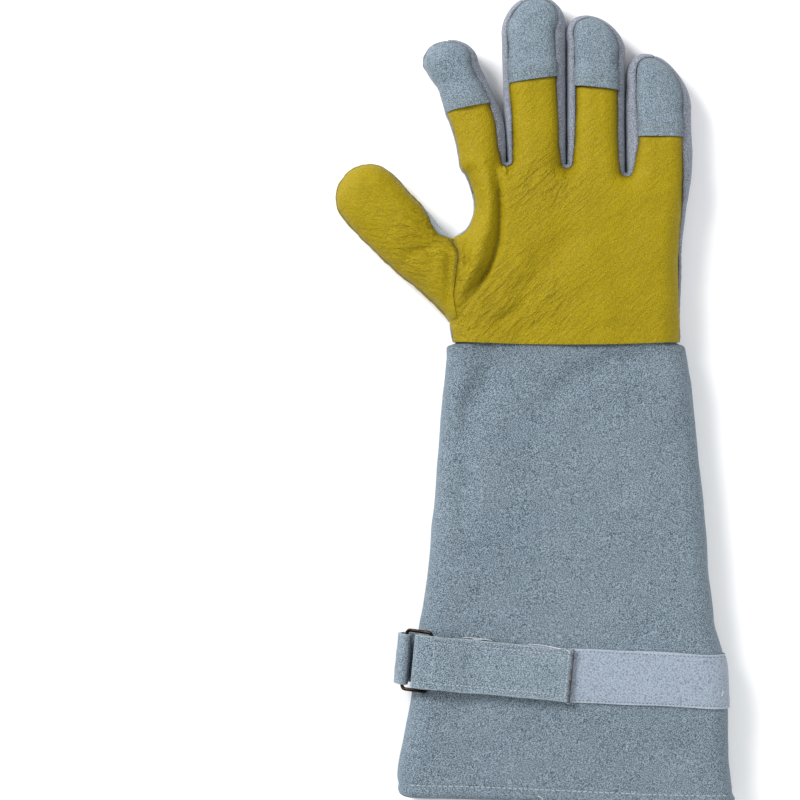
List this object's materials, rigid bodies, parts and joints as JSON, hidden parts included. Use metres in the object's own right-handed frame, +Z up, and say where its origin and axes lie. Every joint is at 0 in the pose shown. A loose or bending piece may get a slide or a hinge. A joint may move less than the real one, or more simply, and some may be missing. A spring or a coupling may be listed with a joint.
{
  "type": "rose pruning gauntlet glove",
  "caption": "Left-hand rose pruning gauntlet, palm up: yellow leather palm and thumb, grey suede back, fingertip patches and long flared cuff with a hook-and-loop strap on a wire ring.",
  "frame": {"origin": "on the resting surface, under the middle of the glove's bounding box", "axes": "+Y from the cuff's mouth to the fingertips, +Z up out of the palm, thumb towards -X"},
  "size_m": [0.2244, 0.4558, 0.0311],
  "materials": {
    "palm_leather": "satin",
    "suede": "matte",
    "loop_pile": "matte",
    "ring_metal": "satin"
  },
  "bodies": {
    "root": {"palm_panel": "palm_leather", "back_panel": "suede", "tip_patch_index": "suede", "tip_patch_middle": "suede", "tip_patch_ring": "suede", "tip_patch_little": "suede", "fourchette_index_middle": "suede", "fourchette_middle_ring": "suede", "fourchette_ring_little": "suede", "thumb_front": "palm_leather", "thumb_back": "palm_leather", "thumb_gusset": "suede", "cuff": "suede", "loop_tape": "loop_pile", "strap": "suede", "ring": "ring_metal", "ring_keeper": "suede"}
  },
  "joints": []
}
